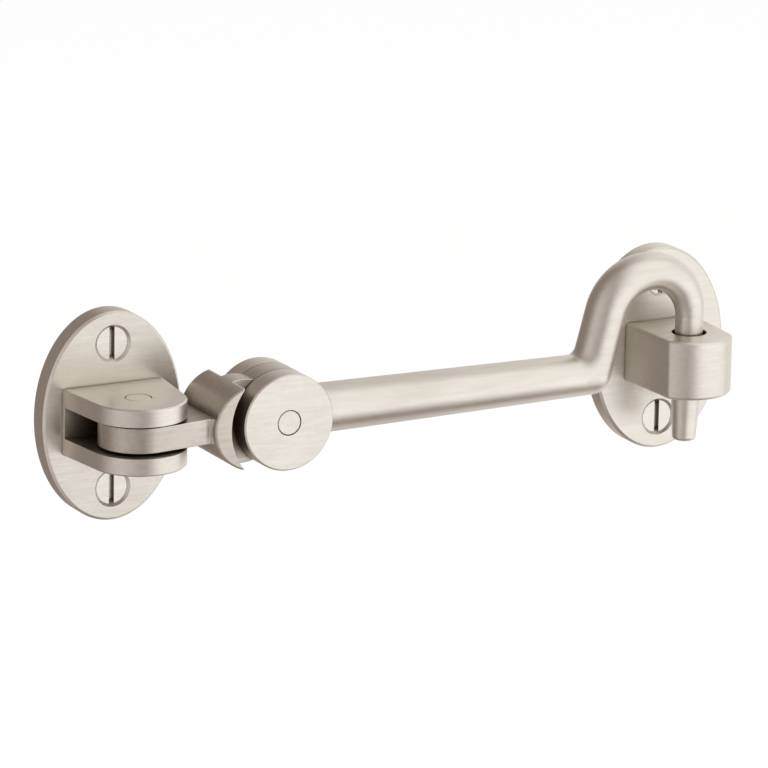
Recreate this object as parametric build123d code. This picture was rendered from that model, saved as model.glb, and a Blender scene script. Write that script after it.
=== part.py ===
"""Cabin hook: a swivelling hook bar between a pivot plate and a keeper plate.

Millimetres. X runs along the bar from the pivot to the keeper, the wall is the plane Y = 0 with
the hook on its -Y side, and Z is up. The origin is the middle of the pivot plate's back face.
"""
import os
from math import cos, radians, sin, sqrt, tan

from build123d import *

# Layout of the whole hook
plate_spacing = 130.0
axis_out = 16.6
hook_pin_x = 30.6

# Oval back plates, alike at both ends
plate_width = 31.4
plate_height = 44.45
plate_thickness = 4.6
plate_edge_chamfer = 0.5

# Slotted countersunk wood screws
screw_spacing = 30.7
screw_length = 16.0
screw_shank_diameter = 4.2
screw_core_diameter = 3.0
screw_head_diameter = 7.1
screw_head_recess = 0.55
screw_cone_angle = 82.0
screw_slot_width = 1.1
screw_slot_depth = 0.9
screw_point_length = 5.0
screw_hole_clearance = 0.15
screw_seat_clearance = 0.02

# Pair of ears on the pivot plate
ear_base_half_width = 11.7
ear_nose_radius = 10.0
ear_height = 14.0
ear_slot_height = 6.6
ear_slot_floor = 0.8
ear_edge_chamfer = 0.3
pivot_pin_diameter = 5.6

# Swivel: flat tongue, round shoulder and upright eye
tongue_radius = 8.3
tongue_thickness = 5.2
neck_half_width = 5.6
shoulder_x = 22.3
shoulder_radius = 8.9
shoulder_width = 17.2
shoulder_edge_chamfer = 0.3
neck_flare = 1.0
neck_flare_limit = 0.8
eye_thickness = 5.0

# Knuckle of the hook bar: two discs either side of the eye
knuckle_radius = 10.2
knuckle_width = 15.6
knuckle_edge_chamfer = 0.3
knuckle_side_gap = 0.25
knuckle_rim_gap = 3.4
eye_rim_gap = 0.5
hook_pin_diameter = 5.4

# Fits of the two pins
pin_running_clearance = 0.05
pin_press_clearance = 0.01
pin_chamfer = 0.25

# Bar, bend, leg, arch and tip of the hook
bar_root_diameter = 10.7
bar_bend_diameter = 8.9
bend_radius = 6.5
bend_seat = 0.02
leg_lean = 15.0
leg_top_diameter = 8.8
arch_radius = 10.5
arch_height = 10.4
arch_crown_diameter = 8.2
arch_end_diameter = 6.0
tip_lean = 1.2
tip_shoulder_diameter = 6.0
tip_shoulder_drop = 19.0
tip_end_diameter = 5.0
tip_length = 27.4
tip_end_round = 0.9

# Keeper: a rounded block with an upright hole
keeper_root_width = 17.4
keeper_nose_width = 15.6
keeper_nose_radius = 9.2
keeper_height = 12.8
keeper_corner_round = 1.5
keeper_edge_round = 0.8
keeper_hole_diameter = 7.5

# Depth by which a boss is rooted in the plate it grows from, and overshoot of a cutting tool
boss_root = plate_thickness / 2
cut_margin = 1.0


def upright_cylinder(diameter, height, x):
    """Cylinder on the vertical line at x through the bar's plane, centred on the bar's height."""
    return Pos(x, -axis_out, 0) * Cylinder(diameter / 2, height)


def level_cylinder(diameter, width, x):
    """Cylinder on the front-to-back line at x, centred on the bar's plane."""
    return Pos(x, -axis_out, 0) * Rot(90, 0, 0) * Cylinder(diameter / 2, width)


def screw_axes(plate_x):
    """Places of one plate's two screws, with local Z pointing out of the plate's face."""
    heights = (screw_spacing / 2, -screw_spacing / 2)
    return [Plane((plate_x, -plate_thickness, height), (1, 0, 0), (0, -1, 0)) for height in heights]


def revolved_on(plane, points):
    """Solid of revolution about a plane's own Z, from points given as (radius, height)."""
    outline = Plane.XZ * make_face(Polyline(*points, close=True))
    return plane.location * revolve(outline, Axis.Z)


def cone_depth(diameter_change):
    """Depth over which a countersink narrows by the given diameter."""
    return diameter_change / 2 / tan(radians(screw_cone_angle / 2))


def screw_hole(plane):
    """Countersunk hole: its cone meets the screw head at the depth where the head lies."""
    hole = screw_shank_diameter + 2 * screw_hole_clearance
    seat_depth = screw_head_recess + cone_depth(screw_head_diameter - hole)
    mouth = hole + 2 * (seat_depth + cut_margin) * tan(radians(screw_cone_angle / 2))
    return revolved_on(plane, [
        (0, cut_margin), (mouth / 2, cut_margin), (hole / 2, -seat_depth),
        (hole / 2, -plate_thickness - cut_margin), (0, -plate_thickness - cut_margin),
    ])


def screw(plane):
    """Slotted countersunk screw: plain shank in the plate, then the core of its thread and the point."""
    top = -screw_head_recess + screw_seat_clearance
    neck = top - cone_depth(screw_head_diameter - screw_shank_diameter)
    end = top - screw_length
    body = revolved_on(plane, [
        (0, top), (screw_head_diameter / 2, top), (screw_shank_diameter / 2, neck),
        (screw_shank_diameter / 2, -plate_thickness), (screw_core_diameter / 2, -plate_thickness),
        (screw_core_diameter / 2, end + screw_point_length), (0, end),
    ])
    slot = Box(screw_slot_width, screw_head_diameter + cut_margin, 2 * screw_slot_depth)
    return body - plane.location * Pos(0, 0, top) * slot


def oval_plate():
    plate = extrude(Plane.XZ * Ellipse(plate_width / 2, plate_height / 2), plate_thickness)
    return chamfer(plate.edges().group_by(Axis.Y)[0], plate_edge_chamfer)


def outline_edges(block):
    """Edges round the top and bottom faces of an upright block."""
    levels = block.edges().group_by(Axis.Z)
    return levels[0] + levels[-1]


def ear_block():
    """Ears before they are slotted: flanks that close in a little, then a round nose about the pin."""
    nose = Pos(0, -axis_out) * Circle(ear_nose_radius)
    root = Line((-ear_base_half_width, -boss_root), (ear_base_half_width, -boss_root))
    block = extrude(make_hull(nose.edges() + root.edges()), ear_height / 2, both=True)
    return chamfer(outline_edges(block), ear_edge_chamfer)


def keeper_block():
    """Block whose flanks close in a little towards a blunt round nose, all its edges softened."""
    root = Line((-keeper_root_width / 2, -boss_root), (keeper_root_width / 2, -boss_root))
    nose = Circle(keeper_nose_radius) & Rectangle(keeper_nose_width, 2 * keeper_nose_radius)
    nose = Pos(0, -axis_out) * nose
    block = extrude(make_hull(root.edges() + nose.edges()), keeper_height / 2, both=True)
    corners = block.edges().filter_by(Axis.Z).group_by(Axis.Y)[0]
    block = fillet(corners, keeper_corner_round)
    return fillet(outline_edges(block), keeper_edge_round)


def with_screw_holes(plate, plate_x):
    for plane in screw_axes(plate_x):
        plate -= screw_hole(plane)
    return plate


def pivot_plate():
    """Oval plate with two ears, bored for the upright pin."""
    plate = oval_plate() + ear_block()
    slot_back = -plate_thickness - ear_slot_floor
    slot_depth = axis_out + ear_nose_radius
    slot_width = 2 * ear_base_half_width + 2 * cut_margin
    plate -= Pos(0, slot_back - slot_depth / 2, 0) * Box(slot_width, slot_depth, ear_slot_height)
    plate -= upright_cylinder(pivot_pin_diameter + 2 * pin_press_clearance, ear_height + cut_margin, 0)
    return with_screw_holes(plate, 0)


def keeper_plate():
    """Oval plate with a rounded block, bored for the hook's tip."""
    plate = Pos(plate_spacing, 0, 0) * (oval_plate() + keeper_block())
    plate -= upright_cylinder(keeper_hole_diameter, keeper_height + cut_margin, plate_spacing)
    return with_screw_holes(plate, plate_spacing)


def flush_pin(diameter, length):
    """Plain pin whose chamfered ends show as a fine ring."""
    pin = Cylinder(diameter / 2, length)
    return chamfer(pin.edges().filter_by(GeomType.CIRCLE), pin_chamfer)


def pivot_pin():
    return Pos(0, -axis_out, 0) * flush_pin(pivot_pin_diameter, ear_height)


def hook_pin():
    return Pos(hook_pin_x, -axis_out, 0) * Rot(90, 0, 0) * flush_pin(hook_pin_diameter, knuckle_width)


def side_discs(radius, inner_gap, width, x):
    """Pair of level discs on one axis, either side of a gap in the bar's plane."""
    return level_cylinder(2 * radius, width, x) - level_cylinder(2 * radius + cut_margin, inner_gap, x)


def tongue_outline():
    """Plan of the tongue: round about the pivot pin, narrower at the neck, flared into the shoulder.

    The flare's fillet takes no more than a share of the ledge that the shoulder stands out from the neck.
    """
    head = Pos(0, -axis_out) * Circle(tongue_radius)
    neck = Pos(shoulder_x, -axis_out) * Rectangle(cut_margin, 2 * neck_half_width)
    flare_start = shoulder_x - sqrt(shoulder_radius**2 - (tongue_thickness / 2) ** 2)
    flare_length = shoulder_x + cut_margin / 2 - flare_start
    flare_width = shoulder_width - 2 * shoulder_edge_chamfer
    flare = Pos(flare_start + flare_length / 2, -axis_out) * Rectangle(flare_length, flare_width)
    outline = make_hull(head.edges() + neck.edges()) + flare
    inner_corners = outline.vertices().group_by(Axis.X)[-2].sort_by(Axis.Y)[1:3]
    ledge = flare_width / 2 - abs(inner_corners[0].Y + axis_out)
    return fillet(inner_corners, min(neck_flare, neck_flare_limit * ledge))


def swivel():
    """Level tongue between the ears, round shoulder, and upright eye inside the knuckle."""
    shoulder = level_cylinder(2 * shoulder_radius, shoulder_width, shoulder_x)
    shoulder = chamfer(shoulder.edges().filter_by(GeomType.CIRCLE), shoulder_edge_chamfer)
    body = extrude(tongue_outline(), tongue_thickness / 2, both=True) + shoulder
    hollow_radius = knuckle_radius + knuckle_rim_gap
    body -= side_discs(hollow_radius, eye_thickness, shoulder_width + cut_margin, hook_pin_x)
    body += level_cylinder(2 * knuckle_radius, eye_thickness, hook_pin_x)
    body -= upright_cylinder(pivot_pin_diameter + 2 * pin_running_clearance, ear_height, 0)
    body -= level_cylinder(hook_pin_diameter + 2 * pin_running_clearance, knuckle_width, hook_pin_x)
    return body


def in_bar_plane(point):
    """Point of the bar's plane, given as (x, z)."""
    return Vector(point[0], -axis_out, point[1])


def round_section(point, direction, diameter):
    """Circle across the hook's line at a point of the bar's plane."""
    return Plane(in_bar_plane(point), (0, 1, 0), (direction[0], 0, direction[1])) * Circle(diameter / 2)


def tapered_run(start, end, start_diameter, end_diameter):
    """Round tapered run between two points of the bar's plane."""
    direction = (end[0] - start[0], end[1] - start[1])
    first = round_section(start, direction, start_diameter)
    last = round_section(end, direction, end_diameter)
    return loft([first, last])


def arch_point(angle):
    """Point of the arch's line: zero degrees is over the keeper's hole."""
    centre_x = plate_spacing - arch_radius
    return (centre_x + arch_radius * cos(radians(angle)), arch_height + arch_radius * sin(radians(angle)))


def arch(start_angle, end_angle):
    """Arch that narrows from the leg over its crown to the tip."""
    diameters = {start_angle: leg_top_diameter, 90: arch_crown_diameter, end_angle: arch_end_diameter}
    sections = [
        round_section(arch_point(angle), (sin(radians(angle)), -cos(radians(angle))), diameter)
        for angle, diameter in diameters.items()
    ]
    line = ThreePointArc(*(in_bar_plane(arch_point(angle)) for angle in diameters))
    return sweep(sections, path=line, multisection=True)


def bend_sweep(bend):
    """Round bend that fills the inner corner between the bar and the leg."""
    turn = 90 - leg_lean
    setback = bend_radius * tan(radians(turn / 2))
    centre = (bend[0] - setback, bend_radius)
    points = []
    sections = []
    for angle in (0, turn / 2, turn):
        direction = (cos(radians(angle)), sin(radians(angle)))
        point = (centre[0] + bend_radius * direction[1], centre[1] - bend_radius * direction[0])
        points.append(in_bar_plane(point))
        sections.append(round_section(point, direction, bar_bend_diameter - 2 * bend_seat))
    return sweep(sections, path=ThreePointArc(*points), multisection=True)


def tip(start):
    """Tip that hangs from the arch, leaning a little towards the bar, with a rounded end."""
    lean = (-sin(radians(tip_lean)), -cos(radians(tip_lean)))
    shoulder = (start[0] + tip_shoulder_drop * lean[0], start[1] + tip_shoulder_drop * lean[1])
    end = (start[0] + tip_length * lean[0], start[1] + tip_length * lean[1])
    point = tapered_run(shoulder, end, tip_shoulder_diameter, tip_end_diameter)
    point = fillet(point.edges().sort_by(Axis.Z)[0], tip_end_round)
    return tapered_run(start, shoulder, arch_end_diameter, tip_shoulder_diameter) + point


def hook_bar():
    """Forked knuckle, tapering bar, sharp bend, leaning leg, arch and tip, forged as one piece."""
    arch_start = 180 - leg_lean
    arch_end = -tip_lean
    leg_end = arch_point(arch_start)
    bend = (leg_end[0] - leg_end[1] * tan(radians(leg_lean)), 0)
    bar = tapered_run((hook_pin_x, 0), bend, bar_root_diameter, bar_bend_diameter)
    elbow = Pos(in_bar_plane(bend)) * Sphere(bar_bend_diameter / 2)
    leg = tapered_run(bend, leg_end, bar_bend_diameter, leg_top_diameter)
    hook = bar + elbow + leg + bend_sweep(bend)
    hook += arch(arch_start, arch_end) + tip(arch_point(arch_end))
    cheeks = level_cylinder(2 * knuckle_radius, knuckle_width, hook_pin_x)
    hook += chamfer(cheeks.edges().filter_by(GeomType.CIRCLE), knuckle_edge_chamfer)
    slot_width = eye_thickness + 2 * knuckle_side_gap
    hook -= level_cylinder(2 * (knuckle_radius + eye_rim_gap), slot_width, hook_pin_x)
    bore_diameter = hook_pin_diameter + 2 * pin_press_clearance
    hook -= level_cylinder(bore_diameter, knuckle_width + cut_margin, hook_pin_x)
    return hook


def screws(plate_x):
    return Compound([screw(plane) for plane in screw_axes(plate_x)])


nodes = {
    "pivot_plate": pivot_plate(),
    "pivot_pin": pivot_pin(),
    "pivot_screws": screws(0),
    "swivel": swivel(),
    "hook_bar": hook_bar(),
    "hook_pin": hook_pin(),
    "keeper_plate": keeper_plate(),
    "keeper_screws": screws(plate_spacing),
}

os.makedirs("parts", exist_ok=True)
for name, node in nodes.items():
    export_step(node, f"parts/{name}.step")
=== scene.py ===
"""Looks of the cabin hook: brushed nickel on every CAD node, screw threads, floor, light and camera.

Metres, in the CAD model's frame: X runs from the pivot to the keeper, the wall is Y = 0, Z is up.
Lengths in the named values below are in millimetres, and angles in degrees.
"""

from math import cos, pi, radians, sin

import bmesh
import bpy
from mathutils import Matrix, Vector


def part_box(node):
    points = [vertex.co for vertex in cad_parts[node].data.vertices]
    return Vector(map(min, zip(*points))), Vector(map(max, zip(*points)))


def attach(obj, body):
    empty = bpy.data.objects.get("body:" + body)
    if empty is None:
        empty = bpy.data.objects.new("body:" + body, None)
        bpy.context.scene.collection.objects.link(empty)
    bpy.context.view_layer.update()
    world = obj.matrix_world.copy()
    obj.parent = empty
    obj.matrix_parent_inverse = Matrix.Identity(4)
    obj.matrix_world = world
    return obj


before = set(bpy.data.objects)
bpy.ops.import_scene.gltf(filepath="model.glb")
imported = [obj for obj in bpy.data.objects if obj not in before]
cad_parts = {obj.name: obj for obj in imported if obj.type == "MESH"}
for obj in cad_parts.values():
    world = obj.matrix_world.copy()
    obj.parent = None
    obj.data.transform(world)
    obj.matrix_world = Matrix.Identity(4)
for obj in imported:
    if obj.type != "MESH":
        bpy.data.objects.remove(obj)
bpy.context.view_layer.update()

MM = 0.001

# Camera, fitted to the photograph
CAMERA_AZIMUTH = -28.17
CAMERA_ELEVATION = 15.35
CAMERA_ROLL = 0.93
CAMERA_TARGET = (59.04, -12.0, 1.92)
CAMERA_DISTANCE = 1298.9
CAMERA_LENS = 292.1
CAMERA_NEAR = 50.0
CAMERA_FAR = 50000.0
SENSOR_WIDTH = 36.0

# Floor, sky and key lamp
WHITE = (1.0, 1.0, 1.0)
FLOOR_DROP = 420.0
FLOOR_SIZE = 12000.0
FLOOR_COLOR = (0.86, 0.86, 0.855)
FLOOR_GLOW = 0.5
SKY_LIGHT = 0.54
KEY_PLACE = (900.0, -1100.0, 1100.0)
KEY_TARGET = (60.0, -10.0, 0.0)
KEY_SIZE = 1400.0
KEY_WATTS = 9.0
KEY_COLOR = (1.0, 0.985, 0.96)

# Light tent: a sphere, its colours, and where from its centre each part of it starts and is full
TENT_RADIUS = 360.0
TENT_CENTER = (65.0, -10.0, 0.0)
TENT_SEGMENTS = 48
TENT_RINGS = 24
TENT_DIM = (0.29, 0.24, 0.215)
TENT_SIDE = (0.72, 0.68, 0.65)
TENT_BEHIND = (0.95, 0.92, 0.89)
TENT_UPPER = (1.0, 0.985, 0.965)
TENT_BRIGHT = (1.18, 1.17, 1.16)
SIDE_X = (-40.0, -330.0)
SIDE_Y = (150.0, -70.0)
FRONT_Y = (60.0, -90.0)
BEHIND_X = (-20.0, 250.0)
PANEL_X = (-110.0, 80.0)
PANEL_Z = (-280.0, -150.0)
UPPER_Z = (-70.0, 60.0)

# Screw threads, measured from the wall into it
THREAD_ROOT_DIAMETER = 3.0
THREAD_CREST_DIAMETER = 4.1
THREAD_PITCH = 1.5
THREAD_START = 1.0
THREAD_END = 6.2
THREAD_STEPS_PER_TURN = 28
THREAD_FOOT_SINK = 0.1
THREAD_CREST_SINK = 0.05
THREAD_RISE_RATE = 6.0

# Nickel tones
NICKEL = (0.80, 0.768, 0.705)
NICKEL_SHADE = (0.71, 0.675, 0.612)
NICKEL_WORN = (0.90, 0.875, 0.825)
# Painted shade: the dark brown that corners and seams which see little sky take into their colour
PAINTED_SHADE = (0.085, 0.05, 0.032)
NICKEL_TONES = (NICKEL_SHADE, NICKEL)
# The swivel's darker tones are painted shade, for the dark it takes between the plate and the knuckle
SHADED_SWIVEL_TONES = ((0.55, 0.505, 0.445), (0.67, 0.625, 0.56))

# Brushing: noise that is drawn out along the grain, and even noise for cloudy tone and specks
LEVEL_GRAIN = (90.0, 1500.0, 1500.0)
ROUND_GRAIN = (500.0, 500.0, 900.0)
BAR_GRAIN = (120.0, 1100.0, 1100.0)
BROAD_STREAKS = {"scale": 1.0, "detail": 3.0}
FINE_STREAKS = {"scale": 3.1, "detail": 5.0, "roughness": 0.65}
CLOUDS = {"scale": 55.0, "detail": 3.0}
SPECKS = {"scale": 1900.0, "detail": 2.0}
TONE_SPREAD = (0.72, 1.28)
GLOSS_SPREAD = (0.45, 0.95)
PLATE_ROUGHNESS = (0.26, 0.42)
SCREW_ROUGHNESS = (0.2, 0.3)
SPECKS_IN_GLOSS = 0.4
SPECKS_IN_RELIEF = 0.25
RELIEF_STRENGTH = 0.35
RELIEF_DEPTH = 0.02

# Wear on edges, by how far the normal bends there, and painted shade in corners and seams, by how little
# sky they see
EDGE_WIDTH = 0.35
EDGE_ROUND = 0.18
EDGE_SAMPLES = 6
EDGE_BEND = (0.995, 0.86)
WEAR_PATCHES = (0.38, 0.6)
WEAR_SKY = (0.8, 0.97)
SKY_SAMPLES = 8
CORNER_SKY = (0.58, 0.14)
SEAM_REACH = 1.0
SEAM_SKY = (0.72, 0.4)
# Where the painted shade lies, the metal is also rougher
PAINTED_SHADE_ROUGHNESS = 0.25

# Finish of each CAD node
# Each reach sets how far the painted shade in corners looks for neighbouring parts
FINISHES = {
    "pivot_plate": {"grain": LEVEL_GRAIN, "shift": (0.0, 0.0, 0.0), "painted_shade_reach": 13.0},
    "keeper_plate": {"grain": LEVEL_GRAIN, "shift": (3.7, 1.3, 8.1), "painted_shade_reach": 12.0},
    "swivel": {"grain": BAR_GRAIN, "shift": (5.2, 2.9, 4.4), "painted_shade_reach": 9.0, "tones": SHADED_SWIVEL_TONES},
    "hook_bar": {"grain": BAR_GRAIN, "shift": (1.9, 7.7, 2.3), "painted_shade_reach": 7.0},
    "pivot_pin": {"grain": ROUND_GRAIN, "shift": (6.1, 0.4, 3.3), "painted_shade_reach": 7.0},
    "hook_pin": {"grain": ROUND_GRAIN, "shift": (2.2, 5.9, 7.4), "painted_shade_reach": 7.0},
    "pivot_screws": {
        "grain": LEVEL_GRAIN, "shift": (4.4, 6.6, 1.2), "painted_shade_reach": 3.0, "roughness": SCREW_ROUGHNESS,
    },
    "keeper_screws": {
        "grain": LEVEL_GRAIN, "shift": (9.3, 3.1, 5.8), "painted_shade_reach": 3.0, "roughness": SCREW_ROUGHNESS,
    },
}


class NodeTree:
    """Short calls for building a node tree."""

    def __init__(self, tree):
        self.tree = tree
        tree.nodes.clear()

    def add(self, kind, inputs=None, **settings):
        node = self.tree.nodes.new(kind)
        for name, value in settings.items():
            setattr(node, name, value)
        for key, value in (inputs or {}).items():
            self.put(node.inputs[key], value)
        return node

    def put(self, socket, value):
        if isinstance(value, bpy.types.NodeSocket):
            self.tree.links.new(value, socket)
        elif isinstance(socket.default_value, (int, float)):
            socket.default_value = value
        else:
            socket.default_value = tuple(value) + (1.0,) * (len(socket.default_value) - len(value))

    def math(self, operation, a, b, clamp=False):
        return self.add("ShaderNodeMath", {0: a, 1: b}, operation=operation, use_clamp=clamp).outputs[0]

    def noise(self, vector, scale, detail, roughness=0.55):
        inputs = {"Vector": vector, "Scale": scale, "Detail": detail, "Roughness": roughness}
        return self.add("ShaderNodeTexNoise", inputs).outputs["Fac"]

    def spread(self, value, low, high, new_low=0.0, new_high=1.0):
        inputs = {
            "Value": value, "From Min": low, "From Max": high, "To Min": new_low, "To Max": new_high,
        }
        return self.add("ShaderNodeMapRange", inputs).outputs["Result"]

    def blend(self, factor, a, b):
        inputs = {"Factor": factor, 6: a, 7: b}
        return self.add("ShaderNodeMix", inputs, data_type="RGBA").outputs[2]

    def rounded_normal(self, radius):
        inputs = {"Radius": radius * MM}
        return self.add("ShaderNodeBevel", inputs, samples=EDGE_SAMPLES).outputs["Normal"]

    def open_sky(self, reach):
        inputs = {"Distance": reach * MM}
        return self.add("ShaderNodeAmbientOcclusion", inputs, samples=SKY_SAMPLES).outputs["AO"]


def new_material(name):
    """An empty material and its node tree."""
    material = bpy.data.materials.new(name)
    material.use_nodes = True
    return material, NodeTree(material.node_tree)


def brushed_nickel(name, grain, shift, painted_shade_reach, roughness=PLATE_ROUGHNESS, tones=NICKEL_TONES):
    """Nickel plate: streaks drawn out along the grain, cloudy tone, bright edges, and painted shade in
    dark corners.
    """
    material, t = new_material(name)
    place = t.add("ShaderNodeTexCoord").outputs["Object"]
    drawn = t.add("ShaderNodeMapping", {"Vector": place, "Location": shift, "Scale": grain}).outputs[0]
    broad = t.noise(drawn, **BROAD_STREAKS)
    fine = t.noise(drawn, **FINE_STREAKS)
    cloud = t.noise(place, **CLOUDS)
    speck = t.noise(place, **SPECKS)

    flat = t.add("ShaderNodeNewGeometry").outputs["Normal"]
    bend = t.add(
        "ShaderNodeVectorMath", {0: t.rounded_normal(EDGE_WIDTH), 1: flat}, operation="DOT_PRODUCT",
    ).outputs["Value"]
    seam_sky = t.open_sky(SEAM_REACH)
    wear = t.math("MULTIPLY", t.spread(bend, *EDGE_BEND), t.spread(cloud, *WEAR_PATCHES))
    wear = t.math("MULTIPLY", wear, t.spread(seam_sky, *WEAR_SKY))
    # Painted shade: corners and seams that see little sky are darkened towards the dark brown
    corner = t.spread(t.open_sky(painted_shade_reach), *CORNER_SKY)
    corner = t.math("MAXIMUM", corner, t.spread(seam_sky, *SEAM_SKY))

    color = t.blend(t.spread(t.math("ADD", broad, cloud), *TONE_SPREAD), *tones)
    color = t.blend(wear, color, NICKEL_WORN)
    color = t.blend(corner, color, PAINTED_SHADE)
    gloss = t.math("ADD", fine, t.math("MULTIPLY", speck, SPECKS_IN_GLOSS))
    gloss = t.spread(gloss, *GLOSS_SPREAD, *roughness)
    gloss = t.math("ADD", gloss, t.math("MULTIPLY", corner, PAINTED_SHADE_ROUGHNESS), clamp=True)
    relief = t.math("ADD", fine, t.math("MULTIPLY", speck, SPECKS_IN_RELIEF))
    bump = t.add("ShaderNodeBump", {
        "Strength": RELIEF_STRENGTH, "Distance": RELIEF_DEPTH * MM, "Height": relief,
        "Normal": t.rounded_normal(EDGE_ROUND),
    })
    shader = t.add("ShaderNodeBsdfPrincipled", {
        "Base Color": color, "Metallic": 1.0, "Roughness": gloss, "Normal": bump.outputs[0],
    })
    t.add("ShaderNodeOutputMaterial", {"Surface": shader.outputs[0]})
    return material


nickel = {node: brushed_nickel(f"nickel_{node}", **finish) for node, finish in FINISHES.items()}
for node, material in nickel.items():
    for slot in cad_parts[node].material_slots:
        slot.material = material


def helix_ridge(name, axes, material):
    """Screw threads: a three-sided ridge wound round each screw's core, thinning out at both ends."""
    root = THREAD_ROOT_DIAMETER / 2
    full_height = (THREAD_CREST_DIAMETER - THREAD_ROOT_DIAMETER) / 2
    foot = root - THREAD_FOOT_SINK
    half_width = THREAD_PITCH / 4
    length = THREAD_END - THREAD_START
    turns = length / THREAD_PITCH
    steps = round(turns * THREAD_STEPS_PER_TURN)
    mesh = bmesh.new()
    for axis_x, axis_z in axes:
        rings = []
        for step in range(steps + 1):
            share = step / steps
            angle = 2 * pi * turns * share
            depth = THREAD_START + length * share
            height = min(1.0, THREAD_RISE_RATE * share, THREAD_RISE_RATE * (1 - share)) * full_height
            crest = root - THREAD_CREST_SINK + height
            corners = []
            for offset, radius in ((-half_width, foot), (0.0, crest), (half_width, foot)):
                x = axis_x + radius * cos(angle)
                y = depth + offset
                z = axis_z + radius * sin(angle)
                corners.append(mesh.verts.new((x * MM, y * MM, z * MM)))
            rings.append(corners)
        for ring, following in zip(rings, rings[1:]):
            for side in range(3):
                other = (side + 1) % 3
                mesh.faces.new((ring[side], ring[other], following[other], following[side]))
        mesh.faces.new(rings[0])
        mesh.faces.new(reversed(rings[-1]))
    bmesh.ops.recalc_face_normals(mesh, faces=mesh.faces)
    data = bpy.data.meshes.new(name)
    mesh.to_mesh(data)
    mesh.free()
    data.materials.append(material)
    ridge = bpy.data.objects.new(name, data)
    bpy.context.scene.collection.objects.link(ridge)
    return ridge


for node, body in (("pivot_screws", "base"), ("keeper_screws", "keeper")):
    low, high = (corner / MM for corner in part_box(node))
    head_radius = (high.x - low.x) / 2
    middle_x = (low.x + high.x) / 2
    axes = [(middle_x, high.z - head_radius), (middle_x, low.z + head_radius)]
    threads = helix_ridge(node.replace("screws", "threads"), axes, nickel[node])
    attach(threads, body)


def seen_ray(t):
    """One on the rays that show the background: the camera's, and those that metal and glass send on."""
    path = t.add("ShaderNodeLightPath").outputs
    seen = t.math("MAXIMUM", path["Is Camera Ray"], path["Is Glossy Ray"])
    return t.math("MAXIMUM", seen, path["Is Transmission Ray"])


def floor():
    """Pale floor that reads as white, and still takes the object's shadow."""
    material, t = new_material("pale_floor")
    matt = t.add("ShaderNodeBsdfDiffuse", {"Color": FLOOR_COLOR}).outputs[0]
    strength = t.math("MULTIPLY", seen_ray(t), FLOOR_GLOW)
    glow = t.add("ShaderNodeEmission", {"Strength": strength}).outputs[0]
    both = t.add("ShaderNodeAddShader", {0: matt, 1: glow}).outputs[0]
    t.add("ShaderNodeOutputMaterial", {"Surface": both})
    bpy.ops.mesh.primitive_plane_add(size=FLOOR_SIZE * MM, location=(0, 0, -FLOOR_DROP * MM))
    plane = bpy.context.object
    plane.name = "floor"
    plane.data.materials.append(material)


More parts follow.
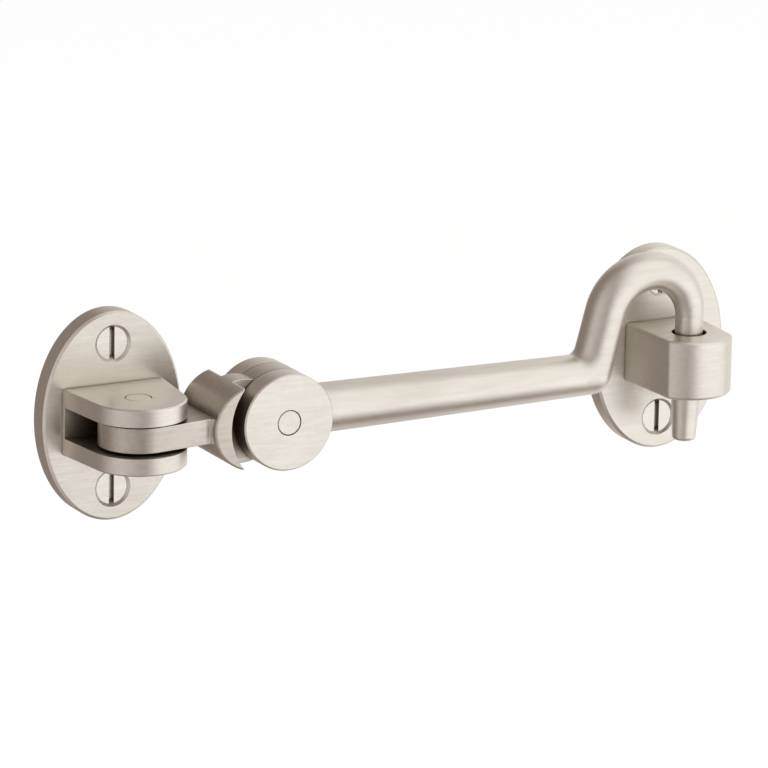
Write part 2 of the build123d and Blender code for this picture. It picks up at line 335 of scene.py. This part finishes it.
def tent():
    """Light tent that only reflections see: a bright panel at the front right, pale cloth behind the
    right and at the left, and dim cloth between them."""
    material, t = new_material("tent")
    place = t.add("ShaderNodeTexCoord").outputs["Object"]
    split = t.add("ShaderNodeSeparateXYZ", {0: place}).outputs

    def along(axis, ends):
        start, full = ends
        return t.spread(split[axis], start * MM, full * MM)

    front = along("Y", FRONT_Y)
    side = t.math("MULTIPLY", along("X", SIDE_X), along("Y", SIDE_Y))
    behind = t.math("MULTIPLY", along("X", BEHIND_X), t.math("SUBTRACT", 1.0, front))
    panel = t.math("MULTIPLY", along("X", PANEL_X), along("Z", PANEL_Z))
    panel = t.math("MULTIPLY", panel, front)
    cloth = t.blend(side, TENT_DIM, TENT_SIDE)
    cloth = t.blend(behind, cloth, TENT_BEHIND)
    cloth = t.blend(panel, cloth, t.blend(along("Z", UPPER_Z), TENT_BRIGHT, TENT_UPPER))
    glow = t.add("ShaderNodeEmission", {"Color": cloth}).outputs[0]
    t.add("ShaderNodeOutputMaterial", {"Surface": glow})
    bpy.ops.mesh.primitive_uv_sphere_add(
        segments=TENT_SEGMENTS, ring_count=TENT_RINGS,
        radius=TENT_RADIUS * MM, location=Vector(TENT_CENTER) * MM,
    )
    dome = bpy.context.object
    dome.name = "light_tent"
    dome.data.materials.append(material)
    dome.visible_camera = False
    dome.visible_diffuse = False
    dome.visible_shadow = False


def sky():
    """World that shows as white, and lights the scene evenly at a lower level."""
    world = bpy.data.worlds.new("studio")
    bpy.context.scene.world = world
    world.use_nodes = True
    t = NodeTree(world.node_tree)
    strength = t.spread(seen_ray(t), 0.0, 1.0, SKY_LIGHT, 1.0)
    background = t.add("ShaderNodeBackground", {"Color": WHITE, "Strength": strength}).outputs[0]
    t.add("ShaderNodeOutputWorld", {"Surface": background})


def key_lamp():
    """One large soft square lamp, for the floor's shadow."""
    data = bpy.data.lights.new("key", "AREA")
    data.size = KEY_SIZE * MM
    data.energy = KEY_WATTS
    data.color = KEY_COLOR
    light = bpy.data.objects.new("key", data)
    light.location = Vector(KEY_PLACE) * MM
    aim = Vector(KEY_TARGET) * MM - light.location
    light.rotation_mode = "QUATERNION"
    light.rotation_quaternion = aim.to_track_quat("-Z", "Y")
    bpy.context.scene.collection.objects.link(light)


def camera():
    """Camera at the photograph's angle, distance and framing."""
    azimuth = radians(CAMERA_AZIMUTH)
    elevation = radians(CAMERA_ELEVATION)
    back = Vector((sin(azimuth) * cos(elevation), -cos(azimuth) * cos(elevation), sin(elevation)))
    level = Vector((cos(azimuth), sin(azimuth), 0.0))
    right = Matrix.Rotation(radians(CAMERA_ROLL), 3, back) @ level
    up = back.cross(right)
    data = bpy.data.cameras.new("camera")
    data.lens = CAMERA_LENS
    data.sensor_width = SENSOR_WIDTH
    data.clip_start = CAMERA_NEAR * MM
    data.clip_end = CAMERA_FAR * MM
    eye = bpy.data.objects.new("camera", data)
    rotation = Matrix((right, up, back)).transposed()
    place = (Vector(CAMERA_TARGET) + back * CAMERA_DISTANCE) * MM
    eye.matrix_world = Matrix.Translation(place) @ rotation.to_4x4()
    bpy.context.scene.collection.objects.link(eye)
    bpy.context.scene.camera = eye


floor()
tent()
sky()
key_lamp()
camera()
bpy.context.scene.view_settings.view_transform = "Standard"
